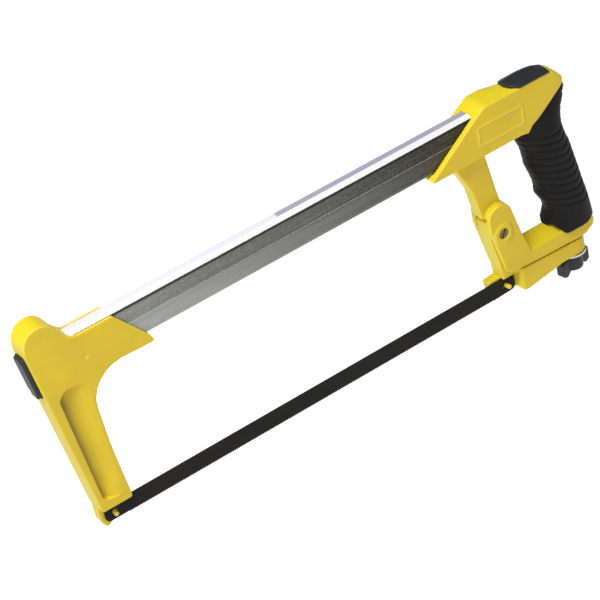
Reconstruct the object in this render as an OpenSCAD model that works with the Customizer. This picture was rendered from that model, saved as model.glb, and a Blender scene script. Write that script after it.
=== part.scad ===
// Hacksaw with a rectangular tube spine, a cast nose, a cast D handle and a lever that tensions the blade.
// The saw stands upright: spine up, teeth down. X runs from the nose to the handle, Z up.
// Shapes are drawn from the front blade pin, on the blade's centre line, and then moved so that
// the origin is the middle of the hand grip.

/* [Blade] */
// Distance between the two blade pins
blade_span = 300; // [240:1:380]
// Width of the blade, teeth included
blade_w = 12.5; // [9:0.1:16]
// Thickness of the blade
blade_t = 0.65; // [0.5:0.05:1]
// Blade beyond each hole
blade_end = 6.8; // [5:0.1:10]
// Play of each blade hole on its pin
hole_play = 1.1; // [1:0.05:1.6]
// Distance from tooth to tooth
tooth_pitch = 1.4; // [1:0.1:3]
// Height of a tooth
tooth_h = 0.6; // [0.4:0.1:1]
// How far each blade hole sits inward of its pin
hole_slack = 0.25; // [0.1:0.05:0.3]

/* [Blade pins] */
// Diameter of both blade pins
pin_d = 3; // [2.5:0.1:3.6]
// Lean of the pins, away from each other
pin_lean = 6.5; // [0:0.5:7]
// Pin that stands out beyond the blade
pin_out = 4; // [3:0.1:4.2]

/* [Spine tube] */
// Height of the tube's underside above the blade's centre line
throat = 110; // [88:1:150]
// Height of the tube
tube_h = 25; // [20:0.5:34]
// Width of the tube
tube_w = 11; // [9:0.5:16]
// Wall of the tube
tube_wall = 1.4; // [1:0.1:2]
// Corner radius of the tube
tube_r = 1.6; // [1:0.1:3]
// Width of the line rolled along each side
groove_w = 0.8; // [0.4:0.1:2]
// Depth of that line
groove_depth = 0.3; // [0.1:0.05:0.5]

/* [Nose] */
// Wall of the nose beside the tube
cheek_wall = 2.2; // [1.5:0.1:4]
// Radius of the round boss at the top of the nose
boss_r = 11.3; // [8:0.1:14]
// Thickness of the web between the two leg pockets
nose_web = 4.5; // [3:0.1:8]
// Thickness of the flange behind the blade
flange_t = 6.5; // [5:0.1:8]

/* [Bumper] */
// Rubber that stands out from the front face
bumper_out = 3; // [2:0.1:4]
// Rubber let into the front face
bumper_in = 2; // [1:0.1:3]
// Width of the bumper
bumper_w = 10; // [8:0.5:14]

/* [Handle casting] */
// Wall of the housing beside the tube
housing_wall = 4.25; // [3.5:0.05:6]
// Housing above the tube
housing_top = 5.7; // [5:0.1:9]
// Housing below the tube
housing_floor = 3.4; // [2.5:0.1:4.5]
// Length of the tube beyond the rear blade pin
tube_seat = 32; // [31:0.5:34]
// Width of the leg between the housing and the clevis
leg_w = 9.5; // [8:0.5:14]
// Width of the post inside the grip
post_w = 12; // [10:0.5:15]
// Height of the raised border on each side of the housing
border_h = 0.4; // [0.2:0.1:0.8]

/* [Grip and pad] */
// Width of the grip
grip_w = 26; // [23:0.5:31]
// Corner radius of the grip's cross-section
grip_r = 12; // [8:0.1:12.5]
// Height of the pad above the housing
pad_h = 2.9; // [2.4:0.1:3.6]

/* [Lever] */
// Height of the pivot above the blade's centre line
pivot_z = 45.2; // [42:0.1:50]
// Width of the lever between the clevis ears
lever_w = 11; // [9:0.5:12]
// Width of the lever's arm below the handle
arm_w = 18; // [15:0.5:21]
// Diameter of the pivot screw
pivot_d = 5; // [4:0.5:6]
// Outer diameter of the bush in the lever
bush_d = 8; // [7.4:0.1:9]
// Thickness of the washers beside the lever
pivot_washer_t = 0.5; // [0.3:0.05:1]

/* [Tension bolt and wing nut] */
// Distance of the bolt behind the rear blade hole
bolt_x = 55; // [51:0.5:57]
// Diameter of the tension bolt
bolt_d = 6; // [5:0.5:7]
// Outer diameter of the tension washer
washer_d = 19; // [16:0.5:21]
// Thickness of the tension washer
washer_t = 1.5; // [1:0.1:2.5]
// Diameter of the wing nut's hub
hub_d = 13.5; // [12.5:0.5:17]
// Height of the wing nut
nut_h = 14.5; // [13:0.5:18]
// Span over the two wings
wing_span = 26; // [24:0.5:32]
// Angle of the wings from the saw's length
wing_angle = 13; // [0:1:90]

/* [Fit] */
// Gap around pieces that are fitted and stay put
fit_gap = 0.1; // [0.05:0.01:0.2]
// Running clearance, on the radius
run_gap = 0.05; // [0.02:0.01:0.1]
// Gap above the blade
blade_gap = 1.5; // [1.2:0.1:3]
// Gap between the blade's rear end and the lever's shoulder
shoulder_gap = 1.2; // [1:0.1:2.5]
// Gap between bodies that move past or rest on each other
part_gap = 0.3; // [0.2:0.05:0.4]

/* [Hidden] */
$fn = 64;

// Levels and places that several pieces share
cheek_w = tube_w + 2 * cheek_wall;
housing_w = tube_w + 2 * housing_wall;
tube_top = throat + tube_h;
house_low = throat - housing_floor;
house_high = tube_top + housing_top;
tube_front = -0.5;
tube_rear = blade_span + tube_seat;
flange_face = -1.3;
blade_back = flange_face - part_gap;
blade_front = blade_back - blade_t;
body_low = blade_w / 2 + blade_gap;
ear_low = 13;
ear_high = pivot_z + 23.5;
member_high = 35;
saddle_high = 28;
grip_x = blade_span + 48;
grip_z = (member_high + house_low) / 2;

// Pivot screw, nut and washers
pivot_x = blade_span - 0.8;
screw_head_d = pivot_d + 2;
screw_head_h = 2.6;
screw_slot_w = 1.1;
screw_sunk = 0.7;
boss_h = 1;
boss_d = screw_head_d + 7;
nut_af = pivot_d + 3;
nut_depth = 2.9;
washer_play = 0.05;
slot_w = lever_w + 2 * (pivot_washer_t + 2 * washer_play);
screw_face = -housing_w / 2 - boss_h + screw_sunk;

// Tension bolt and what hangs on it
stud_x = blade_span + bolt_x;
seat_z = -2;
head_af = 10;
head_h = 4;
head_z = 22;
washer_top = seat_z - part_gap;
nut_top = washer_top - washer_t - part_gap;
stud_low = nut_top - nut_h + 2.5;
insert_d = 10;
insert_h = 10;
thread_gap = 0.05;
arm_swing = 3.6;

// ---- outlines ----

function unit(v) = v / norm(v);

// Arc that rounds corner b between points a and c
function corner_arc(a, b, c, r, steps) =
    let (u = unit(a - b),
         v = unit(c - b),
         half = acos(u * v) / 2,
         start = b + u * r / tan(half),
         centre = b + unit(u + v) * r / sin(half),
         arm = start - centre,
         turn = (u.x * v.y - u.y * v.x > 0) ? 1 : -1,
         sweep = turn * (180 - 2 * half))
    [for (i = [0:steps])
        let (t = -sweep * i / steps)
        centre + [arm.x * cos(t) - arm.y * sin(t), arm.x * sin(t) + arm.y * cos(t)]];

// Polygon whose points are [x, y, corner radius]
function rounded(points, steps = 6) =
    let (n = len(points))
    [for (i = [0:n - 1])
        let (p = points[i],
             before = points[(i + n - 1) % n],
             after = points[(i + 1) % n])
        each (p[2] > 0
            ? corner_arc([before.x, before.y], [p.x, p.y], [after.x, after.y], p[2], steps)
            : [[p.x, p.y]])];

// Plate with its outline in X and Z, from y_low to y_high
module side_plate(outline, y_low, y_high) {
    translate([0, y_high, 0])
        rotate([90, 0, 0])
            linear_extrude(height = y_high - y_low)
                polygon(outline);
}

// Plate that is centred on the saw's middle plane
module mid_plate(outline, width) {
    side_plate(outline, -width / 2, width / 2);
}

// Cylinder along Y, from y_low to y_high
module cross_rod(x, z, r, y_low, y_high, sides = 64) {
    translate([x, y_high, z])
        rotate([90, 0, 0])
            cylinder(r = r, h = y_high - y_low, $fn = sides);
}

// Moves the saw so that the grip's middle is at the origin
module placed() {
    translate([-grip_x, 0, -grip_z])
        children();
}

// ---- blade and its pins ----

// Pin that starts in its flange and leans by angle, seen from the side
module leaning_pin(x, lean, r) {
    pin_root = flange_face + flange_t - 1;
    tip = flange_face - blade_front + pin_out;
    translate([x, flange_face, 0])
        rotate([0, 0, lean])
            rotate([90, 0, 0])
                translate([0, 0, -(pin_root - flange_face)])
                    cylinder(r = r, h = pin_root - flange_face + tip);
}

module front_blade_pin() {
    color("silver")
        placed()
            leaning_pin(0, -pin_lean, pin_d / 2);
}

module rear_blade_pin() {
    color("silver")
        placed()
            leaning_pin(blade_span, pin_lean, pin_d / 2);
}

module blade() {
    low = -blade_w / 2;
    end_r = 3.5;
    first_tooth = blade_end + 3;
    teeth = floor((blade_span - 2 * first_tooth) / tooth_pitch);
    teeth_run = [for (i = [0:teeth - 1])
        let (x = first_tooth + i * tooth_pitch)
        each [[x, low + tooth_h], [x + tooth_pitch * 0.15, low], [x + tooth_pitch * 0.3, low]]];
    back = [[blade_span + blade_end, low + tooth_h, end_r],
            [blade_span + blade_end, blade_w / 2, end_r],
            [-blade_end, blade_w / 2, end_r],
            [-blade_end, low + tooth_h, end_r]];
    color("dimgray")
        placed()
            difference() {
                side_plate(concat(teeth_run, rounded(back, 4)), blade_front, blade_back);
                for (x = [hole_slack, blade_span - hole_slack]) {
                    cross_rod(x, 0, (pin_d + hole_play) / 2, blade_front - 1, blade_back + 1);
                }
            }
}

// ---- spine ----

module tube_section(grow, r) {
    w = tube_w / 2 + grow;
    low = throat - grow;
    high = tube_top + grow;
    polygon(rounded([[-w, low, r], [w, low, r], [w, high, r], [-w, high, r]]));
}

// Bar along X whose section is drawn in Y and Z
module along_x(x_low, x_high) {
    translate([x_low, 0, 0])
        rotate([90, 0, 90])
            linear_extrude(height = x_high - x_low)
                children();
}

module spine_tube() {
    groove_z = throat + tube_h * 0.52;
    color("lightsteelblue")
        placed()
            difference() {
                along_x(tube_front, tube_rear)
                    tube_section(0, tube_r);
                along_x(tube_front - 1, tube_rear + 1)
                    tube_section(-tube_wall, max(tube_r - tube_wall, 0.2));
                for (side = [-1, 1]) {
                    translate([tube_front - 1, side * tube_w / 2 - groove_depth, groove_z])
                        cube([tube_rear - tube_front + 2, 2 * groove_depth, groove_w]);
                }
                nose_pin_hole(pin_r + run_gap);
                spine_screw_hole(screw_r + run_gap);
            }
}

// ---- nose ----

pin_r = 1.5;
nose_pin_x = 6;
nose_pin_z = throat + 8;

module nose_pin_hole(r) {
    cross_rod(nose_pin_x, nose_pin_z, r, -cheek_w, cheek_w, 32);
}

// The front face runs from the foot up to the boss
nose_foot_x = -9.7;
nose_top_x = -30.2;
nose_top_z = tube_top + 2;
function front_face_x(z) =
    nose_foot_x + (nose_top_x - nose_foot_x) * (z - body_low) / (nose_top_z - body_low);

bumper_low = throat - 6;
bumper_high = tube_top;
boss_x = nose_top_x + boss_r + 0.2;
boss_z = tube_top + 6.5;

module nose_outline_plate() {
    boss = [for (a = [180:-7.5:30])
        [boss_x + boss_r * cos(a), boss_z + boss_r * sin(a), 0]];
    outline = rounded([
        [front_face_x(body_low), body_low, 1.5],
        [front_face_x(nose_top_z), nose_top_z, 8],
        each boss,
        [-1.6, tube_top, 12],
        [27.8, tube_top, 2],
        [48.8, throat - 1, 6],
        [50.6, throat - 6.2, 1],
        [3.6, throat - 4.6, 22],
        [7, throat * 0.45, 200],
        [12, body_low, 1.5]]);
    mid_plate(outline, cheek_w);
}

module leg_pockets() {
    outline = rounded([
        [front_face_x(20) + 4.8, 16, 4],
        [front_face_x(throat - 12) + 7, throat - 12, 4],
        [-12, throat - 6.5, 4],
        [1.5, throat - 8, 5],
        [6.3, 13, 4]]);
    for (side = [-1, 1]) {
        mid = side * (nose_web / 2 + cheek_w / 2);
        side_plate(outline, mid - cheek_w / 2, mid + cheek_w / 2);
    }
}

module nose_flange() {
    outline = rounded([
        [front_face_x(body_low + 3), body_low + 3, 0],
        [front_face_x(body_low) - 0.2, -3, 4],
        [-6.3, -10.6, 2.5],
        [-1.5, -6, 3],
        [12, -5, 4],
        [12, body_low + 3, 0]]);
    side_plate(outline, flange_face, flange_face + flange_t);
}

module bumper_seat(grow) {
    depth = bumper_in + grow;
    low = bumper_low;
    high = bumper_high;
    outline = [
        [front_face_x(low) + depth, low - grow],
        [front_face_x(low) - bumper_out, low - grow],
        [front_face_x(high) - bumper_out, high + grow],
        [front_face_x(high) + depth, high + grow]];
    mid_plate(outline, bumper_w - 3 + 2 * grow);
}

module nose_casting() {
    channel_w = tube_w + 2 * fit_gap;
    color("gold")
        placed()
            difference() {
                union() {
                    nose_outline_plate();
                    nose_flange();
                }
                translate([tube_front - fit_gap, -channel_w / 2, throat - fit_gap])
                    cube([80, channel_w, tube_h + 40]);
                leg_pockets();
                bumper_seat(fit_gap);
                nose_pin_hole(pin_r);
                leaning_pin(0, -pin_lean, pin_d / 2);
            }
}

module nose_pin() {
    color("gold")
        placed()
            cross_rod(nose_pin_x, nose_pin_z, pin_r, -cheek_w / 2 + 0.2, cheek_w / 2 - 0.2, 32);
}

module front_bumper() {
    low = bumper_low;
    high = bumper_high;
    cap = [
        [front_face_x(low), low],
        [front_face_x(low) - 1, low],
        [front_face_x(low + 5) - bumper_out, low + 5],
        [front_face_x(high - 3) - bumper_out, high - 3],
        [front_face_x(high) - 1, high],
        [front_face_x(high), high]];
    color("black")
        placed()
            union() {
                mid_plate(cap, bumper_w);
                intersection() {
                    bumper_seat(0);
                    translate([0, 0, throat - 50])
                        cube([100, 40, 200], center = true);
                }
            }
}

// ---- handle ----

screw_r = 2.5;
sink_depth = 2.6;
plate_t = 4;
spine_screw_x = blade_span + 25.5;

module spine_screw_hole(r) {
    translate([spine_screw_x, 0, tube_top - 8])
        cylinder(r = r, h = housing_top + 10, $fn = 32);
}

// Outline of the housing around the tube; it is also the part seen above the grip
housing_outline = rounded([
    [blade_span - 47.5, house_low, 1],
    [blade_span - 1, house_high, 9],
    [blade_span + 53, house_high, 11],
    [blade_span + 62.5, throat + 20, 5],
    [blade_span + 29, throat - 4.5, 0],
    [blade_span + 24, house_low, 2]]);

leg_outline = rounded([
    [blade_span - 33, house_low + 1, 0],
    [blade_span - 24.5, throat - 8, 9],
    [blade_span - 15.8, throat - 28, 14],
    [blade_span - 11, ear_high - 12, 0],
    [blade_span + 5, ear_high - 12, 0],
    [blade_span - 2.7, house_low + 1, 0]]);

ear_outline = rounded([
    [blade_span - 10, 51, 6],
    [blade_span - 9.8, ear_high - 5, 8],
    [blade_span + 5.5, ear_high, 8],
    [blade_span + 13.2, 37, 8],
    [blade_span + 18.5, saddle_high - 7, 0],
    [blade_span + 26, ear_low - 1.5, 0],
    [blade_span + 2.5, ear_low, 0],
    [blade_span - 2.3, ear_low + 2.3, 3]]);

member_outline = rounded([
    [blade_span + 9, saddle_high, 0],
    [blade_span + 45, saddle_high, 0],
    [blade_span + 46, member_high, 1],
    [blade_span + 61, member_high - 4, 2],
    [blade_span + 64, 22.5, 2],
    [blade_span + 69.5, 21.5, 2.5],
    [blade_span + 68.5, 15, 5],
    [blade_span + 61, 10.4, 9],
    [blade_span + 24, ear_low - 1.4, 0],
    [blade_span + 16, ear_low + 2, 0]]);

// Front and rear of the post inside the grip
post_outline = [
    [blade_span + 32, house_low + 3],
    [blade_span + 47, member_high - 4],
    [blade_span + 62, member_high - 10],
    [blade_span + 52, throat + 14]];

border_outline_size = [35.5, 14.3];
border_corner = [blade_span - 8.3, throat + 4.6];

module raised_border(side) {
    line_w = 1.1;
    y_face = side * housing_w / 2;
    difference() {
        translate([border_corner.x, y_face - border_h, border_corner.y])
            cube([border_outline_size.x, 2 * border_h, border_outline_size.y]);
        translate([border_corner.x + line_w, y_face - 2 * border_h, border_corner.y + line_w])
            cube([border_outline_size.x - 2 * line_w, 4 * border_h, border_outline_size.y - 2 * line_w]);
    }
}

// Raised teardrop around the pivot screw
module pivot_boss() {
    hull() {
        cross_rod(pivot_x, pivot_z, boss_d / 2, -housing_w / 2 - boss_h, -housing_w / 2, 32);
        cross_rod(pivot_x - 0.6, pivot_z - 8, 2.4, -housing_w / 2 - 0.2, -housing_w / 2, 32);
    }
}

// Space between the ears that the lever swings in
module clevis_slot() {
    slot_outline = [
        [blade_span - 30, ear_high - 10],
        [blade_span + 8.5, ear_high - 10],
        [blade_span + 14.5, ear_low + 8],
        [blade_span + 14.5, -5],
        [blade_span - 30, -5]];
    mid_plate(slot_outline, slot_w);
}

module handle_casting() {
    channel_w = tube_w + 2 * fit_gap;
    color("gold")
        placed()
            difference() {
                union() {
                    mid_plate(housing_outline, housing_w);
                    mid_plate(leg_outline, leg_w);
                    mid_plate(ear_outline, housing_w);
                    lower_member();
                    mid_plate(post_outline, post_w);
                    pivot_boss();
                    for (side = [-1, 1]) {
                        raised_border(side);
                    }
                }
                translate([blade_span - 80, -channel_w / 2, throat - fit_gap])
                    cube([80 + tube_seat + fit_gap, channel_w, tube_h + 2 * fit_gap]);
                clevis_slot();
                cross_rod(pivot_x, pivot_z, pivot_d / 2 + run_gap, -housing_w, housing_w);
                cross_rod(pivot_x, pivot_z, screw_head_d / 2 + 0.2, -housing_w,
                          screw_face + screw_head_h);
                cross_rod(pivot_x, pivot_z, nut_af / 2 / cos(30) + fit_gap,
                          housing_w / 2 - nut_depth, housing_w, 6);
                spine_screw_hole(screw_r + run_gap);
                spine_screw_sink();
                translate([stud_x, 0, -5])
                    cylinder(r = bolt_d / 2 + fit_gap, h = head_z + 6);
                bolt_head_pocket();
            }
}

// Countersink for the screw that holds the tube
module spine_screw_sink() {
    translate([spine_screw_x, 0, house_high - sink_depth])
        cylinder(r1 = screw_r + run_gap, r2 = screw_r + 2.8, h = sink_depth + 0.05, $fn = 32);
}

// Hexagon pocket that the tension bolt's head is slid into from the side
module bolt_head_pocket() {
    pocket_w = head_af + 2 * fit_gap;
    translate([stud_x, 0, head_z - fit_gap])
        rotate([0, 0, 30])
            cylinder(r = pocket_w / 2 / cos(30), h = head_h + 2 * fit_gap, $fn = 6);
    translate([stud_x - pocket_w / 2, 0, head_z - fit_gap])
        cube([pocket_w, housing_w, head_h + 2 * fit_gap]);
}

// Lower member, which slopes to both sides between the ears and the grip
module lower_member() {
    edge = housing_w / 2 + 1;
    ridge = 1;
    fall = 0.82;
    difference() {
        mid_plate(member_outline, housing_w);
        for (side = [-1, 1]) {
            along_x(blade_span, blade_span + 43.5)
                polygon([
                    [side * ridge, saddle_high],
                    [side * edge, saddle_high - fall * (edge - ridge)],
                    [side * edge, saddle_high + 4],
                    [side * ridge, saddle_high + 4]]);
        }
    }
}

module spine_screw() {
    shank_low = tube_top - 7;
    color("silver")
        placed()
            union() {
                translate([spine_screw_x, 0, shank_low])
                    cylinder(r = screw_r, h = house_high - sink_depth - shank_low, $fn = 32);
                translate([spine_screw_x, 0, house_high - sink_depth])
                    cylinder(r1 = screw_r, r2 = screw_r + 2.3, h = sink_depth - 0.3, $fn = 32);
            }
}

module spine_nut_plate() {
    plate_w = tube_w - 2 * tube_wall - 2 * fit_gap;
    color("silver")
        placed()
            difference() {
                translate([spine_screw_x - 8, -plate_w / 2, tube_top - tube_wall - fit_gap - plate_t])
                    cube([tube_rear - spine_screw_x + 7, plate_w, plate_t]);
                spine_screw_hole(screw_r + thread_gap);
            }
}

module top_pad() {
    half = housing_w / 2;
    side_view = rounded([
        [blade_span + 20.8, house_high, 0],
        [blade_span + 21.6, house_high + pad_h * 0.7, 1.5],
        [blade_span + 34, house_high + pad_h, 12],
        [blade_span + 45, house_high + pad_h * 0.8, 10],
        [blade_span + 51.5, house_high, 0]]);
    end_view = rounded([
        [-half, house_high, 0],
        [half, house_high, 0],
        [half, house_high + pad_h * 0.5, 1.2],
        [half * 0.4, house_high + pad_h, 8],
        [-half * 0.4, house_high + pad_h, 8],
        [-half, house_high + pad_h * 0.5, 1.2]]);
    top_view = rounded([
        [blade_span + 20.8, -half + 4.5, 6],
        [blade_span + 27, -half, 2],
        [blade_span + 51.5, -half, 2.5],
        [blade_span + 51.5, half, 2.5],
        [blade_span + 27, half, 2],
        [blade_span + 20.8, half - 4.5, 6]]);
    color("black")
        placed()
            intersection() {
                mid_plate(side_view, housing_w);
                along_x(blade_span + 10, blade_span + 70)
                    polygon(end_view);
                linear_extrude(height = house_high + 10)
                    polygon(top_view);
            }
}

// ---- grip ----

grip_outline = rounded([
    [blade_span + 18, house_low - 0.05, 0],
    [blade_span + 28.6, throat - 22, 6],
    [blade_span + 29.8, throat - 33, 8],
    [blade_span + 33.5, 66, 8],
    [blade_span + 34.8, 54, 8],
    [blade_span + 39, 40, 8],
    [blade_span + 33, saddle_high + 0.3, 1],
    [blade_span + 37.5, saddle_high, 2],
    [blade_span + 44.5, 20.8, 3],
    [blade_span + 73.2, 18.6, 1.5],
    [blade_span + 58.6, throat - 9, 6],
    [blade_span + 65.8, throat + 13, 1.5],
    [blade_span + 60, throat + 18.5, 0],
    [blade_span + 40, throat + 4, 0]]);

// Leaning bar with the grip's cross-section
module grip_bar(depth, width, r) {
    length_run = 160;
    lean = 9.5;
    half = width / 2;
    section = rounded([
        [-depth / 2, -half, r],
        [depth / 2, -half, r],
        [depth / 2, half, r],
        [-depth / 2, half, r]]);
    translate([grip_x + 1, 0, grip_z])
        rotate([0, -lean, 0])
            translate([0, 0, -length_run / 2])
                linear_extrude(height = length_run)
                    polygon(section);
}

module grip() {
    color("black")
        placed()
            difference() {
                intersection() {
                    mid_plate(grip_outline, grip_w);
                    union() {
                        grip_bar(37, grip_w, grip_r);
                        intersection() {
                            grip_bar(54, grip_w - 2, grip_r - 2);
                            translate([0, -grip_w, 0])
                                cube([blade_span + 90, 2 * grip_w, member_high + 4]);
                        }
                        intersection() {
                            grip_bar(60, grip_w * 0.5, grip_r * 0.5);
                            translate([0, -grip_w, throat - 14])
                                cube([blade_span + 90, 2 * grip_w, 50]);
                        }
                    }
                }
                mid_plate(housing_outline, housing_w);
                mid_plate(member_outline, housing_w);
                mid_plate(post_outline, post_w);
                mid_plate(ear_outline, housing_w);
            }
}

// ---- lever and pivot ----

lever_front_x = blade_span - 12.8;
shoulder_r = 3;
shoulder_x = blade_span + blade_end + shoulder_gap;

module tension_lever() {
    upright = rounded([
        [blade_span - 10, pivot_z + 11, 3.5],
        [pivot_x + 7.5, pivot_z + 10.5, 6],
        [blade_span + 12, 17, 0],
        [blade_span + 12, 5, 0],
        [blade_span - 3.5, 5, 0],
        [blade_span - 4.6, 22, 5],
        [blade_span - 8.2, 40, 10]]);
    foot = rounded([
        [lever_front_x, 7.7, 0.8],
        [shoulder_x + 7, 9.5, 0],
        [shoulder_x + 7, -5.8, 0],
        [lever_front_x + 2, -6, 1.5]]);
    arm = rounded([
        [shoulder_x - 1, 11, 0],
        [stud_x - 14, 9.4, 0],
        [stud_x + arm_w / 2 + 1, 8.4, 0],
        [stud_x + arm_w / 2 + 1, seat_z, 0],
        [stud_x - 14, seat_z, 0],
        [shoulder_x, -7.2, 4],
        [shoulder_x - 1, 2, 0]]);
    plan = rounded([
        [shoulder_x, -arm_w / 2, shoulder_r],
        [stud_x, -arm_w / 2, 0],
        [stud_x, arm_w / 2, 0],
        [shoulder_x, arm_w / 2, shoulder_r]]);
    color("gold")
        placed()
            difference() {
                union() {
                    mid_plate(upright, lever_w);
                    side_plate(foot, flange_face, flange_face + flange_t);
                    intersection() {
                        mid_plate(arm, arm_w);
                        union() {
                            translate([stud_x, 0, -20])
                                cylinder(r = arm_w / 2, h = 40);
                            translate([0, 0, -20])
                                linear_extrude(height = 40)
                                    polygon(plan);
                        }
                    }
                }
                blade_notch();
                cross_rod(pivot_x, pivot_z, bush_d / 2, -housing_w, housing_w);
                leaning_pin(blade_span, pin_lean, pin_d / 2);
                stud_slot();
            }
}

// The near half of the lever is cut away where the blade lies
module blade_notch() {
    translate([blade_span - 30, -30 + flange_face, -20])
        cube([30 + shoulder_x - blade_span, 30, 20 + blade_w / 2 + blade_gap]);
}

// Slot in the arm that lets it swing past the tension bolt
module stud_slot() {
    half = bolt_d / 2 + part_gap + 0.1;
    translate([stud_x, 0, -20])
        cylinder(r = half, h = 40);
    translate([stud_x, -half, -20])
        cube([arm_swing, 2 * half, 40]);
    translate([stud_x + arm_swing, 0, -20])
        cylinder(r = half, h = 40);
}

module pivot_bush() {
    color("peru")
        placed()
            difference() {
                cross_rod(pivot_x, pivot_z, bush_d / 2, -lever_w / 2, lever_w / 2);
                cross_rod(pivot_x, pivot_z, pivot_d / 2 + run_gap, -lever_w, lever_w);
            }
}

module pivot_washers() {
    inner = lever_w / 2 + washer_play;
    outer = inner + pivot_washer_t;
    color("white")
        placed()
            difference() {
                union() {
                    cross_rod(pivot_x, pivot_z, 7.5, inner, outer);
                    cross_rod(pivot_x, pivot_z, 7.5, -outer, -inner);
                }
                cross_rod(pivot_x, pivot_z, pivot_d / 2 + run_gap, -lever_w, lever_w);
            }
}

module pivot_screw() {
    color("silver")
        placed()
            difference() {
                union() {
                    cross_rod(pivot_x, pivot_z, screw_head_d / 2, screw_face, screw_face + screw_head_h - 0.1);
                    cross_rod(pivot_x, pivot_z, pivot_d / 2, screw_face + 1, housing_w / 2 - 0.3);
                }
                translate([pivot_x, screw_face, pivot_z])
                    rotate([0, 25, 0])
                        cube([screw_slot_w, 1.8, screw_head_d + 2], center = true);
            }
}

module pivot_nut() {
    color("silver")
        placed()
            difference() {
                cross_rod(pivot_x, pivot_z, nut_af / 2 / cos(30), housing_w / 2 - nut_depth,
                          housing_w / 2 - 0.4, 6);
                cross_rod(pivot_x, pivot_z, pivot_d / 2 + thread_gap, 0, housing_w);
            }
}

// ---- tension bolt, washer and wing nut ----

module tension_bolt() {
    color("silver")
        placed() {
            translate([stud_x, 0, stud_low])
                cylinder(r = bolt_d / 2, h = head_z - stud_low + 1);
            translate([stud_x, 0, head_z])
                rotate([0, 0, 30])
                    cylinder(r = head_af / 2 / cos(30), h = head_h, $fn = 6);
        }
}

module tension_washer() {
    color("silver")
        placed()
            difference() {
                translate([stud_x, 0, washer_top - washer_t])
                    cylinder(r = washer_d / 2, h = washer_t);
                translate([stud_x, 0, washer_top - washer_t - 1])
                    cylinder(r = bolt_d / 2 + part_gap, h = washer_t + 2);
            }
}

module wing_nut() {
    wing_t = 6;
    hub_h = nut_h - 3;
    wing_outline = rounded([
        [hub_d / 2 - 3, nut_top - 3, 0],
        [wing_span / 2 - 3, nut_top - 1.8, 2],
        [wing_span / 2, nut_top - 4, 2],
        [wing_span / 2, nut_top - nut_h + 1, 2],
        [wing_span / 2 - 4, nut_top - nut_h, 2.5],
        [hub_d / 2 - 3, nut_top - nut_h + 5, 0]]);
    color("black")
        placed()
            translate([stud_x, 0, 0])
                rotate([0, 0, wing_angle])
                    difference() {
                        union() {
                            translate([0, 0, nut_top - hub_h])
                                cylinder(r = hub_d / 2, h = hub_h - 0.3);
                            for (side = [0, 180]) {
                                rotate([0, 0, side])
                                    mid_plate(wing_outline, wing_t);
                            }
                        }
                        translate([0, 0, nut_top - insert_h])
                            cylinder(r = insert_d / 2, h = insert_h + 1);
                        translate([0, 0, nut_top - nut_h - 1])
                            cylinder(r = bolt_d / 2 + part_gap, h = nut_h);
                    }
}

module wing_nut_insert() {
    color("goldenrod")
        placed()
            difference() {
                translate([stud_x, 0, nut_top - insert_h])
                    cylinder(r = insert_d / 2, h = insert_h);
                translate([stud_x, 0, nut_top - insert_h - 1])
                    cylinder(r = bolt_d / 2 + run_gap, h = insert_h + 2);
            }
}

spine_tube();
nose_casting();
nose_pin();
front_bumper();
front_blade_pin();
blade();
handle_casting();
spine_screw();
spine_nut_plate();
top_pad();
grip();
tension_lever();
rear_blade_pin();
pivot_screw();
pivot_nut();
pivot_bush();
pivot_washers();
tension_bolt();
tension_washer();
wing_nut();
wing_nut_insert();
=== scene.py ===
"""Looks of the hacksaw: soft-edged castings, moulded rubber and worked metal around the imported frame."""

import math

import bmesh
import bpy
import numpy as np
from mathutils import Matrix, Vector


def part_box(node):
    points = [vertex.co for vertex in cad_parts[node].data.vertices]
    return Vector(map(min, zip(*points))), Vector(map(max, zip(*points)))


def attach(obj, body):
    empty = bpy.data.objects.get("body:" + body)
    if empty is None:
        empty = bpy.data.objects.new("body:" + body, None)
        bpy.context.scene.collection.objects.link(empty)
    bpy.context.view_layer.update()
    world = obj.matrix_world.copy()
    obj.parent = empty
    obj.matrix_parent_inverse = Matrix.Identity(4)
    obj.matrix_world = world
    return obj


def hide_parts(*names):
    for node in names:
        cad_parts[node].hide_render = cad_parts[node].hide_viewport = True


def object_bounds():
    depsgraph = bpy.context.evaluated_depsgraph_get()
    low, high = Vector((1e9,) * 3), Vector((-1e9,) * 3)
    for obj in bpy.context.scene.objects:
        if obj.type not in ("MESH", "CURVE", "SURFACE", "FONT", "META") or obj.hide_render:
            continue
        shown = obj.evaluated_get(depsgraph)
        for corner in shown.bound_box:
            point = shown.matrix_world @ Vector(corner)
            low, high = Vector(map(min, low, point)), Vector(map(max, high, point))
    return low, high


bl_info = {
    "name": "Hacksaw looks",
    "version": (1, 0, 0),
    "blender": (4, 5, 0),
    "location": "View3D > Sidebar > Hacksaw",
    "description": "Builds the visible surfaces of a hacksaw around its packed frame",
    "category": "Object",
}

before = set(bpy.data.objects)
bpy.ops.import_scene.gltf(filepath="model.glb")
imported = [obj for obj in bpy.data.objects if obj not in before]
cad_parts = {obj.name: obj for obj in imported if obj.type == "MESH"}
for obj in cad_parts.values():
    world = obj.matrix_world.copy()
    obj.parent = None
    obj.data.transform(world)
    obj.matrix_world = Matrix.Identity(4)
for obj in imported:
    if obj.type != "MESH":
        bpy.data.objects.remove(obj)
CAD_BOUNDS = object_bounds()

MM = 0.001
THROAT = 110 * MM
TUBE_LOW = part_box("spine_tube")[0]
# The front blade pin, on the blade's centre line: the point that saw_point() counts from
PIN_X = TUBE_LOW.x + 0.5 * MM
PIN_Z = TUBE_LOW.z - THROAT


def saw_point(x, y, z):
    """A point given in millimetres from the front blade pin."""
    return Vector((PIN_X + x * MM, y * MM, PIN_Z + z * MM))


# ---- sizes and colours a user may change ----


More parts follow.
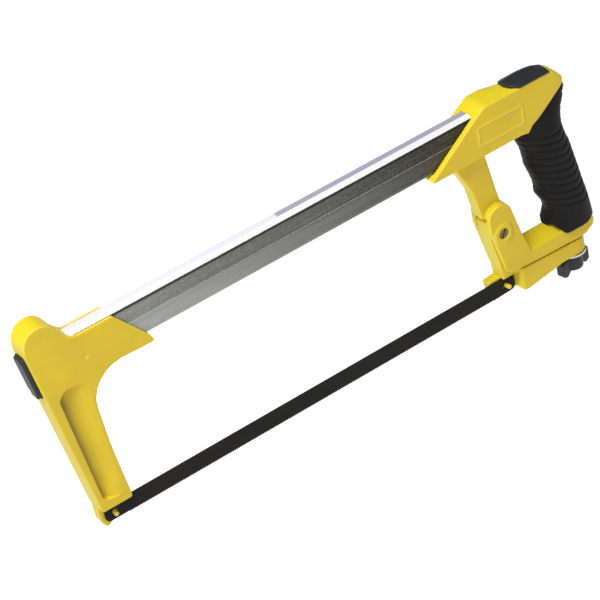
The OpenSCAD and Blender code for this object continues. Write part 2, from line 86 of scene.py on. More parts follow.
class HacksawColours(bpy.types.PropertyGroup):
    enamel: bpy.props.FloatVectorProperty(
        name="Enamel", description="Yellow of the castings", subtype="COLOR", size=3,
        min=0, max=1, default=(0.80, 0.575, 0.022))
    rubber: bpy.props.FloatVectorProperty(
        name="Rubber", description="Black of the grip, pad and bumper", subtype="COLOR", size=3,
        min=0, max=1, default=(0.0105, 0.0098, 0.0096))
    blade: bpy.props.FloatVectorProperty(
        name="Blade", description="Paint of the blade", subtype="COLOR", size=3,
        min=0, max=1, default=(0.0105, 0.0095, 0.0090))


class HacksawCastings(bpy.types.PropertyGroup):
    grain: bpy.props.FloatProperty(
        name="Skin step", description="Distance between the points of a casting's skin",
        unit="LENGTH", min=0.0003, max=0.002, default=0.0005)
    edge_rounds: bpy.props.IntProperty(
        name="Edge rounding", description="How often the cast edges are rounded", min=1, max=40, default=6)
    scoop: bpy.props.FloatProperty(
        name="Scoop", description="Depth left at the rear of the leg's pockets", subtype="FACTOR",
        min=0.05, max=1, default=0.1)
    border: bpy.props.FloatProperty(
        name="Border height", description="Height of the raised border on the housing",
        unit="LENGTH", min=0.0001, max=0.001, default=0.00045)


class HacksawGrip(bpy.types.PropertyGroup):
    ribs: bpy.props.IntProperty(
        name="Ribs", description="Ribs moulded into each side of the grip", min=0, max=20, default=11)
    rib_height: bpy.props.FloatProperty(
        name="Rib height", description="Height of a rib", unit="LENGTH", min=0, max=0.002, default=0.0006)
    half_width: bpy.props.FloatProperty(
        name="Half width", description="Half the grip's width",
        unit="LENGTH", min=0.01, max=0.02, default=0.0128)


class HacksawStage(bpy.types.PropertyGroup):
    azimuth: bpy.props.FloatProperty(
        name="Azimuth", description="Turn of the camera around the saw", subtype="ANGLE",
        default=math.radians(-27.85))
    elevation: bpy.props.FloatProperty(
        name="Elevation", description="Height of the camera above the saw", subtype="ANGLE",
        default=math.radians(36.17))
    roll: bpy.props.FloatProperty(
        name="Roll", description="Tilt of the camera about its own axis", subtype="ANGLE",
        default=math.radians(-11.94))
    distance: bpy.props.FloatProperty(
        name="Distance", description="Distance from the camera to the saw's middle plane", unit="LENGTH",
        min=0.3, max=10, default=1.7377)
    lens: bpy.props.FloatProperty(
        name="Lens", description="Focal length in millimetres on a 36 mm sensor",
        min=20, max=400, default=172.46)
    key: bpy.props.FloatProperty(
        name="Key light", description="Power of the large lamp above", unit="POWER", min=0, default=27)
    fill: bpy.props.FloatProperty(
        name="Fill light", description="Power of the lamp on the nose's side",
        unit="POWER", min=0, default=5)


# ---- finishes ----


class Value:
    """A number that varies over a surface. Arithmetic on it adds the Math nodes it needs."""

    def __init__(self, finish, socket):
        self.finish = finish
        self.socket = socket

    def combined(self, operation, *numbers):
        node = self.finish.add("ShaderNodeMath", {"operation": operation}, dict(enumerate(numbers)))
        return Value(self.finish, node.outputs[0])

    def __add__(self, other):
        return self.combined("ADD", self, other)

    __radd__ = __add__

    def __mul__(self, other):
        return self.combined("MULTIPLY", self, other)

    __rmul__ = __mul__

    def __sub__(self, other):
        return self.combined("SUBTRACT", self, other)

    def __rsub__(self, other):
        return self.combined("SUBTRACT", other, self)

    def __truediv__(self, other):
        return self.combined("DIVIDE", self, other)

    def clamped(self):
        return self.combined("MAXIMUM", self.combined("MINIMUM", self, 1.0), 0.0)

    def ramp(self, low, high):
        """0 at low, 1 at high and level beyond them."""
        return ((self - low) / (high - low)).clamped()


class Finish:
    """One material, put together node by node."""

    def __init__(self, name, roughness=0.5, metallic=0.0, shine=0.5):
        self.material = bpy.data.materials.new(name)
        self.material.use_nodes = True
        self.tree = self.material.node_tree
        self.shader = self.tree.nodes["Principled BSDF"]
        self.shader.inputs["Roughness"].default_value = roughness
        self.shader.inputs["Metallic"].default_value = metallic
        self.shader.inputs["Specular IOR Level"].default_value = shine

    def add(self, kind, settings=None, values=None):
        """A node of this kind: its settings first, then the values or links of its sockets."""
        node = self.tree.nodes.new(kind)
        for name, setting in (settings or {}).items():
            setattr(node, name, setting)
        for name, value in (values or {}).items():
            self.feed(node.inputs[name], value)
        return node

    def feed(self, socket, value):
        if isinstance(value, Value):
            self.tree.links.new(value.socket, socket)
        elif isinstance(value, bpy.types.NodeSocket):
            self.tree.links.new(value, socket)
        elif socket.type == "RGBA" and len(value) == 3:
            socket.default_value = (*value, 1.0)
        else:
            socket.default_value = value

    def place(self, stretch=(1, 1, 1)):
        """Coordinates fixed to the piece, stretched along its axes."""
        here = self.add("ShaderNodeTexCoord").outputs["Object"]
        return self.add("ShaderNodeVectorMath", {"operation": "MULTIPLY"}, {0: here, 1: stretch}).outputs[0]

    def along(self, axis):
        """The piece's own coordinate along X, Y or Z, in metres."""
        here = self.add("ShaderNodeTexCoord").outputs["Object"]
        parts = self.add("ShaderNodeSeparateXYZ", None, {0: here})
        return Value(self, parts.outputs[axis])

    def facing(self, axis):
        """How far the surface faces along X, Y or Z of the piece."""
        normal = self.add("ShaderNodeTexCoord").outputs["Normal"]
        parts = self.add("ShaderNodeSeparateXYZ", None, {0: normal})
        return Value(self, parts.outputs[axis])

    def noise(self, scale, detail=2.0, stretch=(1, 1, 1), roughness=0.5):
        node = self.add("ShaderNodeTexNoise", None, {
            "Vector": self.place(stretch), "Scale": scale, "Detail": detail, "Roughness": roughness})
        return Value(self, node.outputs["Fac"])

    def cells(self, scale):
        node = self.add("ShaderNodeTexVoronoi", {"feature": "F1"}, {"Vector": self.place(), "Scale": scale})
        return Value(self, node.outputs["Distance"])

    def ridge(self):
        """0.5 on flat ground, more on edges, less in hollows."""
        return Value(self, self.add("ShaderNodeNewGeometry").outputs["Pointiness"])

    def mixed(self, factor, one, other):
        node = self.add("ShaderNodeMix", {"data_type": "RGBA", "clamp_factor": True},
                        {0: factor, 6: one, 7: other})
        return node.outputs[2]

    def colour(self, value):
        self.feed(self.shader.inputs["Base Color"], value)

    def rough(self, value):
        self.feed(self.shader.inputs["Roughness"], value)

    def metal(self, value):
        self.feed(self.shader.inputs["Metallic"], value)

    def bump(self, height, distance, strength=1.0):
        node = self.add("ShaderNodeBump", None, {
            "Height": height, "Distance": distance, "Strength": strength})
        self.feed(self.shader.inputs["Normal"], node.outputs[0])


def tint(colour, amount):
    """The same colour, lighter above 1 and darker below it."""
    return tuple(min(1.0, c * amount) for c in colour)


def enamel_finish(colours):
    f = Finish("yellow_enamel", shine=0.28)
    base = tuple(colours.enamel)
    painted_top_light = f.facing(2).ramp(0.2, 0.95)
    drift = f.noise(38, 3)
    dust = f.noise(420, 4)
    painted_edge_highlight = f.ridge().ramp(0.515, 0.56)
    painted_crevice_shade = 1.0 - f.ridge().ramp(0.42, 0.49)
    body = f.mixed(drift.ramp(0.35, 0.65), tint(base, 0.955), tint(base, 1.03))
    # painted light: faces turned up get a lighter yellow, as if lit from above
    body = f.mixed(painted_top_light * 0.55, body, (base[0], base[1] * 1.17, base[2]))
    # painted light: faces turned to the front get a paler, lighter yellow, as if lit from the front
    ahead = (0.0 - f.facing(0)).ramp(0.5, 0.95)
    body = f.mixed(ahead * 0.6, body, (base[0], base[1] * 1.22, base[2] * 1.6))
    body = f.mixed(dust.ramp(0.62, 0.8) * 0.25, body, tint(base, 0.8))
    # painted highlight: rounded edges get a lighter yellow
    body = f.mixed(painted_edge_highlight * 0.5, body, (0.9, 0.76, 0.16))
    # painted shade: hollows and creases get a dark brown
    body = f.mixed(painted_crevice_shade * 0.45, body, (0.36, 0.24, 0.02))
    # painted shade: the shade attribute darkens the front walls of the leg's pockets to a dark brown
    shade = f.add("ShaderNodeAttribute", {"attribute_name": "shade"}).outputs["Fac"]
    body = f.mixed(shade, body, (0.13, 0.075, 0.010))
    f.colour(body)
    f.rough(0.36 + 0.1 * dust + 0.06 * drift)
    f.bump(f.noise(1300, 2) * 0.6 + f.noise(170, 2) * 1.6, 0.00006, 0.7)
    return f.material


def tube_finish():
    f = Finish("drawn_steel", metallic=0.85, shine=0.3)
    top = f.facing(2).ramp(0.55, 0.8)
    drawn = f.noise(90, 6, (0.03, 1, 1), 0.65)
    fine = f.noise(520, 5, (0.03, 1, 1), 0.7)
    specks = f.noise(1500, 3, (0.5, 1, 1))
    far_half = f.along(1).ramp(-0.4 * MM, 0.4 * MM)
    height = f.along(2)
    # painted reflection: the side, its streaks and specks too, fades from light grey at the nose to nearly
    # black at the handle, and its lower half is lighter than its upper half
    rear = f.along(0).ramp(PIN_X + 20 * MM, PIN_X + 250 * MM)
    line = PIN_Z + 123.4 * MM
    lower = height.ramp(line - 0.9 * MM, line + 0.2 * MM)
    painted_edge_shade = height.ramp(PIN_Z + 132.5 * MM, PIN_Z + 133.3 * MM)
    foot = 1.0 - height.ramp(PIN_Z + 110.2 * MM, PIN_Z + 112.5 * MM)
    upper_side = f.mixed(rear, (0.30, 0.31, 0.27), (0.060, 0.058, 0.046))
    lower_side = f.mixed(rear, (0.50, 0.51, 0.48), (0.10, 0.098, 0.084))
    side = f.mixed(lower, lower_side, upper_side)
    dark_streaks = f.mixed(rear, (0.16, 0.165, 0.14), (0.030, 0.029, 0.022))
    pale_streaks = f.mixed(rear, (0.62, 0.62, 0.58), (0.17, 0.17, 0.15))
    pale_specks = f.mixed(rear, (0.58, 0.58, 0.55), (0.22, 0.22, 0.20))
    side = f.mixed(drawn.ramp(0.42, 0.62) * 0.48, side, dark_streaks)
    side = f.mixed(fine.ramp(0.5, 0.68) * 0.3, side, pale_streaks)
    side = f.mixed(specks.ramp(0.52, 0.7) * 0.52, side, pale_specks)
    # painted highlight: a lighter band along the lower edge of the side
    side = f.mixed(foot * 0.5, side, (0.50, 0.50, 0.50))
    # painted shade: a nearly black band along the upper rounded edge of the side
    side = f.mixed(painted_edge_shade * 0.85, side, (0.020, 0.020, 0.018))
    # painted reflection: the top face is near white on its near half and lilac on its far half, a darker
    # lilac from the middle of the tube to the rear
    rear_reflection_darkening = f.along(0).ramp(PIN_X + 149.5 * MM, PIN_X + 151 * MM)
    painted_far_reflection = f.mixed(rear_reflection_darkening, (0.86, 0.84, 0.93), (0.42, 0.40, 0.50))
    cap = f.mixed(far_half, (0.97, 0.97, 0.98), painted_far_reflection)
    cap = f.mixed(drawn.ramp(0.5, 0.7) * 0.12, cap, (0.62, 0.60, 0.68))
    f.colour(f.mixed(top, side, cap))
    f.metal(0.85 - 0.75 * top)
    f.rough(0.45 - 0.1 * top + 0.2 * fine)
    f.bump(drawn + fine * 0.6 + specks * 0.3, 0.00004, 0.6)
    return f.material


def zinc_finish():
    f = Finish("bright_zinc", metallic=1.0)
    shade = (0.62, 0.62, 0.60)
    cloud = f.noise(300, 4)
    turned = f.noise(2600, 2)
    f.colour(f.mixed(cloud.ramp(0.35, 0.7), tint(shade, 0.8), tint(shade, 1.15)))
    f.rough(0.26 + 0.2 * cloud)
    f.bump(turned + cloud, 0.00002, 0.5)
    return f.material


def blade_finish(colours):
    f = Finish("blade_paint", shine=0.12)
    base = tuple(colours.blade)
    cloud = f.noise(90, 4, (0.4, 1, 1))
    grit = f.noise(2200, 3)
    tooth_tips = PIN_Z - 6.25 * MM
    above_tips = f.along(2).ramp(tooth_tips + 0.2 * MM, tooth_tips + 1.0 * MM)
    bare = (1.0 - above_tips) * f.noise(700, 3).ramp(0.35, 0.6)
    body = f.mixed(cloud.ramp(0.35, 0.7), base, tint(base, 1.5))
    body = f.mixed(grit.ramp(0.66, 0.8) * 0.4, body, (0.035, 0.033, 0.032))
    f.colour(f.mixed(bare * 0.35, body, (0.07, 0.068, 0.065)))
    f.rough(0.46 + 0.14 * cloud)
    f.bump(grit + cloud, 0.00003, 0.6)
    return f.material


def rubber_finish(colours, name, sheen=0.0, shade=None, shine=0.12):
    f = Finish(name, shine=shine)
    base = shade or tuple(colours.rubber)
    cloud = f.noise(55, 4)
    grain = f.cells(2300)
    dust = f.noise(900, 4)
    body = f.mixed(cloud.ramp(0.3, 0.7), tint(base, 0.8), tint(base, 1.35))
    body = f.mixed(dust.ramp(0.58, 0.8) * 0.3, body, tint(base, 2.4))
    f.colour(body)
    f.rough(0.5 - sheen + 0.14 * cloud)
    f.bump(grain * 0.8 + dust * 0.5, 0.00005, 0.5)
    return f.material


def plain_finish(name, shade, roughness, metallic=0.0, shine=0.5):
    f = Finish(name, metallic=metallic, shine=shine)
    cloud = f.noise(200, 4)
    fine = f.noise(1800, 3)
    f.colour(f.mixed(cloud.ramp(0.3, 0.7), tint(shade, 0.85), tint(shade, 1.1)))
    f.rough(roughness + 0.12 * cloud)
    f.bump(fine, 0.00003, 0.5)
    return f.material


# ---- mesh work ----


def link(name, mesh):
    piece = bpy.data.objects.new(name, mesh)
    bpy.context.scene.collection.objects.link(piece)
    return piece


def working_copy(node, name):
    """A closed copy of a CAD node's mesh, to work on."""
    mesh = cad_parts[node].data.copy()
    mesh.name = name
    mesh.materials.clear()
    work = bmesh.new()
    work.from_mesh(mesh)
    bmesh.ops.remove_doubles(work, verts=work.verts, dist=2e-6)
    work.to_mesh(mesh)
    work.free()
    return link(name, mesh)


def settle(piece):
    """Applies the piece's modifiers to its mesh."""
    graph = bpy.context.evaluated_depsgraph_get()
    made = bpy.data.meshes.new_from_object(piece.evaluated_get(graph))
    piece.modifiers.clear()
    piece.data = made
    return piece


def skin(piece, step, rounds):
    """Lays an even skin over the piece and rounds its edges."""
    cover = piece.modifiers.new("Skin", "REMESH")
    cover.mode = "VOXEL"
    cover.voxel_size = step
    cover.use_smooth_shade = True
    rounding = piece.modifiers.new("Rounding", "SMOOTH")
    rounding.factor = 0.5
    rounding.iterations = rounds
    return settle(piece)


def points_of(piece):
    """The piece's points, in millimetres from the front blade pin."""
    flat = np.empty(len(piece.data.vertices) * 3)
    piece.data.vertices.foreach_get("co", flat)
    return (flat.reshape(-1, 3) - np.array([PIN_X, 0, PIN_Z])) / MM


def put_points(piece, points):
    flat = points * MM + np.array([PIN_X, 0, PIN_Z])
    piece.data.vertices.foreach_set("co", flat.ravel())
    piece.data.update()


def round_more(piece, share, rounds):
    """Rounds the piece further where share, a number per point, is above 0."""
    group = piece.vertex_groups.new(name="soft")
    for index in np.nonzero(share > 0.01)[0]:
        group.add([int(index)], float(share[index]), "REPLACE")
    rounding = piece.modifiers.new("More rounding", "SMOOTH")
    rounding.factor = 0.5
    rounding.iterations = rounds
    rounding.vertex_group = group.name
    settle(piece)
    piece.vertex_groups.clear()


def step_up(value, low, high):
    """0 at low, 1 at high, with a smooth rise between them."""
    t = np.clip((value - low) / (high - low), 0, 1)
    return t * t * (3 - 2 * t)


def finish_piece(piece, body, finish, replaced=()):
    """Gives the piece its finish, the body that it moves with and the nodes that it stands for."""
    piece.data.materials.clear()
    piece.data.materials.append(finish)
    for face in piece.data.polygons:
        face.use_smooth = True
    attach(piece, body)
    if replaced:
        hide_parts(*replaced)


def material(name):
    found = bpy.data.materials.get(name)
    if found is None:
        raise RuntimeError(f"make the finishes first: there is no {name}")
    return found


def grid_mesh(name, rows, caps=True):
    """A tube of quads through rings of points. A cap joins each point of an end ring to its mirror image."""
    count = len(rows[0])
    work = bmesh.new()
    made = [[work.verts.new(p) for p in row] for row in rows]
    for low, high in zip(made, made[1:]):
        for i in range(count):
            j = (i + 1) % count
            work.faces.new((low[i], low[j], high[j], high[i]))
    if caps:
        for row, flip in ((made[0], True), (made[-1], False)):
            for i in range(count // 2):
                a, b, c, d = row[i], row[i + 1], row[count - 1 - i], row[(count - i) % count]
                corners = list(dict.fromkeys((a, b, c, d)))
                if len(corners) > 2:
                    work.faces.new(corners[::-1] if flip else corners)
    bmesh.ops.recalc_face_normals(work, faces=work.faces)
    mesh = bpy.data.meshes.new(name)
    work.to_mesh(mesh)
    work.free()
    return mesh


# ---- pieces ----


def scoop_pockets(piece, left_at_rear):
    """Turns the straight pockets of the nose's leg into scoops that run out towards the rear and the foot,
    and stores painted shade along their deep front walls.
    """
    p = points_of(piece)
    x, y, z = p.T
    face = np.abs(y).max()
    front = -6.9 - 10.1 * (z - 16) / 82
    rear = 6.6 - 5.2 * (z - 13) / 89
    across = (x - front) / (rear - front)
    depth = 1 - (1 - left_at_rear) * step_up(across, 0.22, 1.0)
    depth *= 0.3 + 0.7 * step_up(z + 10 * (1 - across), 14, 36)
    inside = (across > -0.06) & (across < 1.12) & (z > 13) & (z < 105) & (np.abs(y) > 1.9)
    depth = np.where(inside, depth, 1)
    p[:, 1] = np.sign(y) * (face - (face - np.abs(y)) * depth)
    put_points(piece, p)
    sunk = inside & (np.abs(p[:, 1]) < face - 0.05)
    round_more(piece, np.where(sunk, 1.0, 0.0), 3)
    # painted shade along the deep front wall of each pocket, kept in the shade attribute
    p = points_of(piece)
    depth = np.clip((face - np.abs(p[:, 1])) / 4.5, 0, 1)
    painted_wall_shade = np.where(sunk, depth ** 1.2 * (1 - step_up(across, 0.0, 0.42)) * 0.75, 0)
    wall_shade_attribute = piece.data.attributes.new("shade", "FLOAT", "POINT")
    wall_shade_attribute.data.foreach_set("value", painted_wall_shade)


def crown_drop(x, y, z):
    """How far the housing's top sinks towards its long edges, in millimetres, most on the far side."""
    far = (0.7 + 3.0 * step_up(x, 306, 326) + 3.4 * step_up(x, 338, 354)) * step_up(y, 0, 10.2) ** 1.2
    near = (0.5 + 0.6 * step_up(x, 345, 358)) * step_up(-y, 5, 10.4)
    return (far + near) * step_up(z, 129, 139) * step_up(x, 262, 290)


def round_rear(points):
    """Narrows the top of the housing's rear end, mostly on the far side."""
    x, y, z = points.T
    reach = np.clip((x - 349) / 14, 0, 0.88)
    narrowing = (1 - np.sqrt(1 - reach ** 2)) * np.where(y > 0, 1.0, 0.25)
    points[:, 1] = y * (1 - step_up(z, 122, 132) * narrowing)


class HACKSAW_OT_finishes(bpy.types.Operator):
    """Makes the saw's materials and gives the nodes that keep their CAD shape theirs"""

    bl_idname = "hacksaw.finishes"
    bl_label = "Finishes"

    def execute(self, context):
        colours = context.scene.hacksaw_colours
        made = {
            "enamel": enamel_finish(colours),
            "tube": tube_finish(),
            "zinc": zinc_finish(),
            "blade": blade_finish(colours),
            "rubber": rubber_finish(colours, "grip_rubber"),
            "pad": rubber_finish(colours, "pad_rubber", 0.1, (0.019, 0.022, 0.025), 0.35),
            "wing": plain_finish("wing_plastic", (0.016, 0.018, 0.021), 0.38, 0.0, 0.35),
            "brass": plain_finish("turned_brass", (0.62, 0.44, 0.16), 0.3, 1.0),
            "bronze": plain_finish("oiled_bronze", (0.42, 0.24, 0.10), 0.35, 1.0),
            "screw": plain_finish("dull_screw", (0.22, 0.17, 0.075), 0.5, 0.6),
            "nylon": plain_finish("white_nylon", (0.72, 0.72, 0.68), 0.45),
        }
        wearing = {
            "spine_tube": "tube", "nose_pin": "enamel", "blade": "blade", "spine_screw": "zinc",
            "spine_nut_plate": "zinc", "pivot_screw": "screw", "pivot_nut": "zinc", "pivot_bush": "bronze",
            "pivot_washers": "nylon", "tension_bolt": "zinc", "tension_washer": "zinc",
            "wing_nut_insert": "brass",
        }
        for node, finish in wearing.items():
            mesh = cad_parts[node].data
            mesh.materials.clear()
            mesh.materials.append(made[finish])
        return {"FINISHED"}


class HACKSAW_OT_nose(bpy.types.Operator):
    """Casts the nose with its saddle, boss and scooped leg"""

    bl_idname = "hacksaw.nose"
    bl_label = "Nose casting"

    def execute(self, context):
        sizes = context.scene.hacksaw_castings
        nose = skin(working_copy("nose_casting", "nose_shell"), sizes.grain, sizes.edge_rounds)
        scoop_pockets(nose, sizes.scoop)
        x, y, z = points_of(nose).T
        round_more(nose, step_up(z, 126, 131) * step_up(x, -9, -3) * 0.8, 5)
        # the far cheek's top edge is a little lower than the near one's
        p = points_of(nose)
        x, y, z = p.T
        p[:, 2] -= 0.8 * step_up(y, 4.6, 5.6) * step_up(z, 128, 132) * step_up(x, -3, 1)
        put_points(nose, p)
        finish_piece(nose, "frame", material("yellow_enamel"), ["nose_casting"])
        return {"FINISHED"}


class HACKSAW_OT_handle(bpy.types.Operator):
    """Casts the handle with its housing, leg, clevis and lower member"""

    bl_idname = "hacksaw.handle"
    bl_label = "Handle casting"

    def execute(self, context):
        sizes = context.scene.hacksaw_castings
        handle = skin(working_copy("handle_casting", "handle_shell"), sizes.grain, sizes.edge_rounds)
        x, y, z = points_of(handle).T
        leg = step_up(z, 70, 76) * (1 - step_up(z, 101, 106)) * (1 - step_up(x, 309, 311))
        round_more(handle, leg, 22)
        p = points_of(handle)
        p[:, 2] -= crown_drop(*p.T)
        round_rear(p)
        put_points(handle, p)
        finish_piece(handle, "frame", material("yellow_enamel"), ["handle_casting"])
        return {"FINISHED"}


class HACKSAW_OT_border(bpy.types.Operator):
    """Raises the border on each side of the housing"""

    bl_idname = "hacksaw.border"
    bl_label = "Housing border"

    def execute(self, context):
        height = context.scene.hacksaw_castings.border / MM
        low_x, high_x, low_z, high_z = 291.7, 327.2, 114.6, 128.9
        line, bevel, radius, sunk = 1.2, 0.3, 1.6, -0.15
        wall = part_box("handle_casting")[1].y / MM - 0.4
        # centre of each corner's arc, and where the arc starts
        arcs = (
            (low_x + radius, low_z + radius, 180), (high_x - radius, low_z + radius, 270),
            (high_x - radius, high_z - radius, 0), (low_x + radius, high_z - radius, 90))
        for side, name in ((-1, "near"), (1, "far")):
            rows = []
            for inset, rise in ((0, sunk), (bevel, height), (line - bevel, height), (line, sunk)):
                reach = radius - inset
                corners = []
                for x, z, start in arcs:
                    for i in range(7):
                        angle = math.radians(start + 15 * i)
                        corners.append(saw_point(
                            x + reach * math.cos(angle), side * (wall + rise), z + reach * math.sin(angle)))
                rows.append(corners)
            ring = link("border_" + name, grid_mesh("border_" + name, rows, caps=False))
            finish_piece(ring, "frame", material("yellow_enamel"))
        return {"FINISHED"}


class HACKSAW_OT_lever(bpy.types.Operator):
    """Casts the tension lever"""

    bl_idname = "hacksaw.lever"
    bl_label = "Tension lever"

    def execute(self, context):
        sizes = context.scene.hacksaw_castings
        lever = skin(working_copy("tension_lever", "lever_shell"), sizes.grain, sizes.edge_rounds)
        finish_piece(lever, "lever", material("yellow_enamel"), ["tension_lever"])
        return {"FINISHED"}


PIN_LEAN = math.radians(6.5)
# Blade pin with its domed end: place along its length and share of its radius
PIN_PROFILE = (
    (-0.5, 0.9), (-0.47, 1), (0.30, 1), (0.38, 1), (0.43, 0.96), (0.465, 0.84), (0.486, 0.62), (0.496, 0.34))


class HACKSAW_OT_pins(bpy.types.Operator):
    """Turns the two leaning blade pins with their domed ends"""

    bl_idname = "hacksaw.pins"
    bl_label = "Blade pins"

    def execute(self, context):
        around = 32
        for node, body, lean in (("front_blade_pin", "frame", -1), ("rear_blade_pin", "lever", 1)):
            low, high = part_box(node)
            angle = lean * PIN_LEAN
            way = Vector((math.sin(angle), -math.cos(angle), 0))
            length = (high.y - low.y) / math.cos(angle)
            middle = (low + high) / 2
            radius = (high.z - low.z) / 2
            across = Vector((way.y, -way.x, 0))
            rows = []
            for reach, share in PIN_PROFILE:
                centre = middle + way * (reach * (length - 0.2 * MM))
                rows.append([
                    centre + (across * math.cos(a) + Vector((0, 0, 1)) * math.sin(a)) * radius * share
                    for a in (math.tau * i / around for i in range(around))])
            pin = link(node + "_turned", grid_mesh(node + "_turned", rows))
            finish_piece(pin, body, material("yellow_enamel"), [node])
        return {"FINISHED"}


# Grip outline seen from the side: height, front edge, rear edge and half width, in millimetres
GRIP_LINES = (
    (17, 336.5, 373.8, 12.4), (22, 335.8, 373.2, 12.7), (27, 335.6, 372.6, 12.9),
    (32, 338.2, 371.8, 12.9), (37, 340.2, 371.0, 12.7), (43, 339.0, 369.9, 12.6),
    (51, 334.8, 368.3, 12.8), (58.5, 335.0, 366.9, 13), (66.5, 332.8, 365.4, 13),
    (74.5, 330.2, 363.9, 13), (82, 329.5, 362.5, 13), (88.5, 328.6, 360.3, 12.9),
    (96, 325.6, 358.8, 12.6), (101, 322.9, 358.7, 12.2), (105.6, 320.6, 359.4, 11.4),
    (110, 318.6, 361.2, 10.4), (115, 317, 363.6, 9.2), (120, 316, 365.2, 8.2), (124, 316, 365.6, 7.6))
# Lower and upper ends of the grip: place along the saw, and height there
SKIRT_LINE = (
    (333.5, 27.0), (335, 28.6), (337.5, 27.0), (341, 22.6), (343, 20.2), (344.5, 19.4),
    (352, 19.9), (358, 19.5), (363, 19.4), (369, 19.6), (373, 18.6))
CROWN_LINE = ((334, 107.2), (337, 107.4), (360, 120.6), (365, 122.6), (378, 123.2))


class HACKSAW_OT_grip(bpy.types.Operator):
    """Moulds the ribbed grip, from its skirt over the lower member to the horn at the top"""

    bl_idname = "hacksaw.grip"
    bl_label = "Grip"

    def execute(self, context):
        sizes = context.scene.hacksaw_grip
        lines = np.array(GRIP_LINES)
        around, up = 144, 260
        widest = lines[:, 3].max()
        scale = sizes.half_width / MM / widest
        turn = np.arange(around) * math.tau / around
        side, fore = np.sin(turn), -np.cos(turn)
        power = 2 / 2.15
        u = np.sign(fore) * np.abs(fore) ** power
        v = np.sign(side) * np.abs(side) ** power
        # The lower edge dips to a point on each side. The upper edge follows the housing's underside.
        x_rough = 353 + 19.5 * u
        skirt = np.interp(x_rough, *zip(*SKIRT_LINE))
        crown = np.interp(x_rough, *zip(*CROWN_LINE))
        ribbed_height = 64
        pitch = ribbed_height / max(1, sizes.ribs)
        rows = []
        for t in np.linspace(0, 1, up):
            z = skirt + (crown - skirt) * t
            front, rear, half = (np.interp(z, lines[:, 0], lines[:, k]) for k in (1, 2, 3))
            middle, reach = (front + rear) / 2, (rear - front) / 2
            x = middle + reach * u
            y = half * scale * v
            # grooves run round the sides and dip towards the rear
            dip = 5.5 * (1 - np.abs(u - 0.45) / 1.45)
            phase = (z + dip - 38) / pitch
            apart = np.abs(phase - np.round(phase)) * pitch
            zone = step_up(z, 35, 40) * (1 - step_up(z + dip, 101, 106))
            zone = zone * step_up(np.abs(v), 0.05, 0.4)
            swell = 1 - (sizes.rib_height / MM) * np.exp(-(apart / 0.8) ** 2) * zone / widest
            # two notches in the rear of the horn
            notch = np.exp(-(z - 117) ** 2) + np.exp(-(z - 109.6) ** 2) * 0.8
            x = middle + (x - middle) * swell - step_up(u, 0.6, 0.95) * notch
            # both ends are drawn in a little
            lip = 1 - 0.05 * (1 - step_up(t, 0, 0.014)) - 0.05 * step_up(t, 0.985, 1)
            x, y = middle + (x - middle) * lip, y * swell * lip
            rows.append([saw_point(a, b, c) for a, b, c in zip(x, y, z)])
        grip = link("grip_skin", grid_mesh("grip_skin", rows))
        finish_piece(grip, "frame", material("grip_rubber"), ["grip"])
        return {"FINISHED"}


class HACKSAW_OT_rubber(bpy.types.Operator):
    """Moulds the pad on the housing and the bumper on the nose"""

    bl_idname = "hacksaw.rubber"
    bl_label = "Pad and bumper"

    def execute(self, context):
        pad = skin(working_copy("top_pad", "pad_skin"), 0.35 * MM, 6)
        p = points_of(pad)
        # slightly wider than its CAD node
        p[:, 1] *= 1.045
        p[:, 2] -= crown_drop(*p.T)
        put_points(pad, p)
        finish_piece(pad, "frame", material("pad_rubber"), ["top_pad"])
        bumper = skin(working_copy("front_bumper", "bumper_skin"), 0.3 * MM, 5)
        finish_piece(bumper, "frame", material("pad_rubber"), ["front_bumper"])
        return {"FINISHED"}


class HACKSAW_OT_wing(bpy.types.Operator):
    """Moulds the wing nut"""

    bl_idname = "hacksaw.wing"
    bl_label = "Wing nut"

    def execute(self, context):
        wing = skin(working_copy("wing_nut", "wing_skin"), 0.3 * MM, 6)
        finish_piece(wing, "wing", material("wing_plastic"), ["wing_nut"])
        return {"FINISHED"}


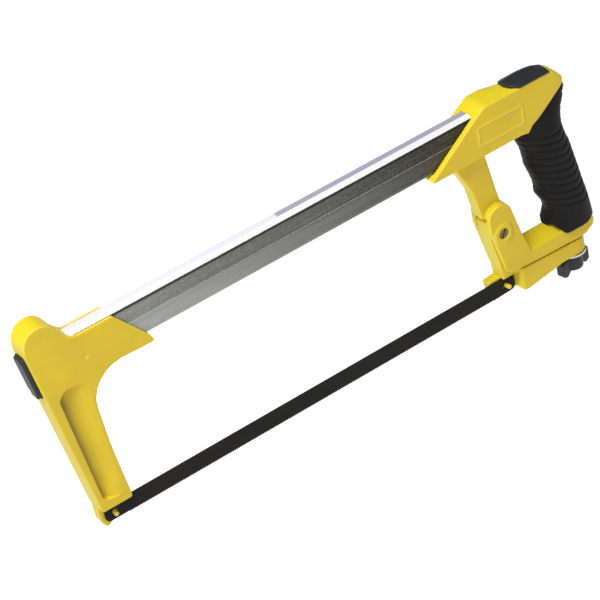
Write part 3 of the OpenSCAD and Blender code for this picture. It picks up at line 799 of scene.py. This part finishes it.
class HACKSAW_OT_stage(bpy.types.Operator):
    """Sets the floor, the soft lamps and the camera"""

    bl_idname = "hacksaw.stage"
    bl_label = "Stage"

    def lamp(self, name, place, aim, power):
        data = bpy.data.lights.new(name, "AREA")
        data.shape = "DISK"
        data.size = 0.8
        data.energy = power
        lamp = link(name, data)
        lamp.location = place
        lamp.rotation_euler = (aim - place).to_track_quat("-Z", "Y").to_euler()

    def execute(self, context):
        scene = context.scene
        stage = scene.hacksaw_stage
        low, high = Vector(CAD_BOUNDS[0]), Vector(CAD_BOUNDS[1])
        centre = (low + high) / 2

        floor_half, floor_drop = 12, 0.30
        work = bmesh.new()
        bmesh.ops.create_grid(work, x_segments=8, y_segments=8, size=floor_half)
        mesh = bpy.data.meshes.new("floor")
        work.to_mesh(mesh)
        work.free()
        floor = link("floor", mesh)
        floor.location = (centre.x, 0, low.z - floor_drop)
        pale = Finish("pale_floor", roughness=0.9, shine=0.0)
        pale.colour(pale.mixed(pale.noise(3, 2).ramp(0.3, 0.7), (0.16, 0.16, 0.16), (0.18, 0.18, 0.18)))
        pale.shader.inputs["Emission Color"].default_value = (1, 1, 1, 1)
        pale.shader.inputs["Emission Strength"].default_value = 0.98
        mesh.materials.append(pale.material)

        world = bpy.data.worlds.new("soft room")
        world.use_nodes = True
        world.node_tree.nodes["Background"].inputs["Color"].default_value = (1, 1, 1, 1)
        world.node_tree.nodes["Background"].inputs["Strength"].default_value = 0.12
        scene.world = world
        scene.view_settings.view_transform = "Standard"

        # places in metres from the saw's middle
        self.lamp("key_lamp", centre + Vector((-0.52, -0.30, 1.5)), centre, stage.key)
        self.lamp("nose_lamp", centre + Vector((-1.5, -0.5, 0.55)), centre, stage.fill)

        azimuth, elevation = stage.azimuth, stage.elevation
        flat = math.cos(elevation)
        ahead = Vector((-math.sin(azimuth) * flat, math.cos(azimuth) * flat, -math.sin(elevation)))
        right = ahead.cross(Vector((0, 0, 1))).normalized()
        up = right.cross(ahead)
        tilted = right * math.cos(stage.roll) + up * math.sin(stage.roll)
        up = tilted.cross(ahead)
        aim = saw_point(153.4, 0, 70.8)
        data = bpy.data.cameras.new("camera")
        data.lens = stage.lens
        data.sensor_width = 36
        data.clip_end = 60
        camera = link("camera", data)
        turned = Matrix((tilted, up, -ahead)).transposed()
        camera.matrix_world = Matrix.Translation(aim - ahead * stage.distance) @ turned.to_4x4()
        scene.camera = camera
        return {"FINISHED"}


STEPS = (
    HACKSAW_OT_finishes, HACKSAW_OT_nose, HACKSAW_OT_handle, HACKSAW_OT_border, HACKSAW_OT_lever,
    HACKSAW_OT_pins, HACKSAW_OT_grip, HACKSAW_OT_rubber, HACKSAW_OT_wing, HACKSAW_OT_stage)
GROUPS = {
    "hacksaw_colours": HacksawColours, "hacksaw_castings": HacksawCastings,
    "hacksaw_grip": HacksawGrip, "hacksaw_stage": HacksawStage}


class HACKSAW_PT_panel(bpy.types.Panel):
    """Lists the saw's sizes, colours and building steps"""

    bl_idname = "HACKSAW_PT_panel"
    bl_label = "Hacksaw"
    bl_space_type = "VIEW_3D"
    bl_region_type = "UI"
    bl_category = "Hacksaw"

    def draw(self, context):
        for group in GROUPS:
            owner = getattr(context.scene, group)
            box = self.layout.box()
            for name in owner.__annotations__:
                box.prop(owner, name)
        for step in STEPS:
            self.layout.operator(step.bl_idname)


def register():
    for group in GROUPS.values():
        bpy.utils.register_class(group)
    for name, group in GROUPS.items():
        setattr(bpy.types.Scene, name, bpy.props.PointerProperty(type=group))
    for step in STEPS:
        bpy.utils.register_class(step)
    bpy.utils.register_class(HACKSAW_PT_panel)


def unregister():
    bpy.utils.unregister_class(HACKSAW_PT_panel)
    for step in reversed(STEPS):
        bpy.utils.unregister_class(step)
    for name, group in GROUPS.items():
        delattr(bpy.types.Scene, name)
        bpy.utils.unregister_class(group)


def main():
    register()
    for step in STEPS:
        family, name = step.bl_idname.split(".")
        getattr(getattr(bpy.ops, family), name)()


if __name__ == "__main__":
    main()
